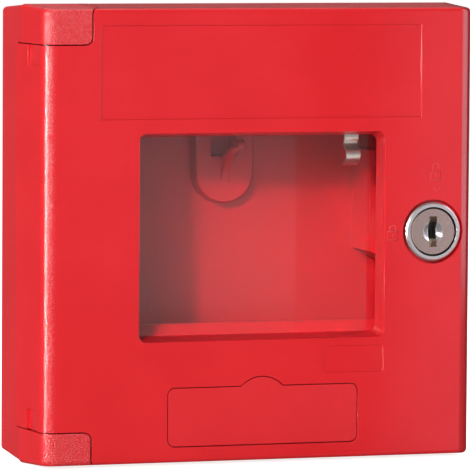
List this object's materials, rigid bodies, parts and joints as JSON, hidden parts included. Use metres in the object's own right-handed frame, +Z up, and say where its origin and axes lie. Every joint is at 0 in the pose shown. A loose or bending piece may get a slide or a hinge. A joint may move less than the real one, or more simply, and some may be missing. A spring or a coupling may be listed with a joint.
{
  "type": "break glass key box",
  "caption": "Square wall-mounted emergency key box: hinged door with a glass window, cam lock with wafer plug, label field and key hook inside.",
  "frame": {"origin": "centre of the rear face, on the wall, midway between the four wall screws", "axes": "+Z up, +X right as seen from the front, +Y into the wall; the door faces -Y"},
  "size_m": [0.1402, 0.0455, 0.14],
  "materials": {
    "red_plastic": "satin moulded, lightly grained on the hinge side",
    "clear_glass": "clear, polished",
    "satin_nickel": "satin nickel plate",
    "zinc_steel": "bright zinc plate",
    "spring_steel": "plain spring steel",
    "wafer_brass": "stamped, unplated"
  },
  "bodies": {
    "box": {"base": "red_plastic", "hinge_pin_top": "zinc_steel", "hinge_pin_bottom": "zinc_steel"},
    "door_body": {"door": "red_plastic", "glass_pane": "clear_glass", "glass_clip": "spring_steel", "glass_clip_screw": "zinc_steel", "label_plate": "red_plastic", "lock_housing": "satin_nickel", "lock_retainer": "spring_steel"},
    "lock_body": {"lock_plug": "satin_nickel", "wafer_1": "wafer_brass", "wafer_2": "wafer_brass", "wafer_3": "wafer_brass", "wafer_4": "wafer_brass", "wafer_5": "wafer_brass", "wafer_spring_1": "spring_steel", "wafer_spring_2": "spring_steel", "wafer_spring_3": "spring_steel", "wafer_spring_4": "spring_steel", "wafer_spring_5": "spring_steel", "stop_washer": "zinc_steel", "lock_cam": "zinc_steel", "cam_washer": "spring_steel", "cam_screw": "zinc_steel"}
  },
  "joints": [
    {"name": "door_hinge", "type": "hinge", "parent": "box", "child": "door_body", "pos_m": [-0.065, -0.035, 0], "axis": [0, 0, -1], "range_deg": [0, 180]},
    {"name": "lock_turn", "type": "hinge", "parent": "door_body", "child": "lock_body", "pos_m": [0.0566, -0.035, 0], "axis": [0, -1, 0], "range_deg": [0, 90]}
  ]
}
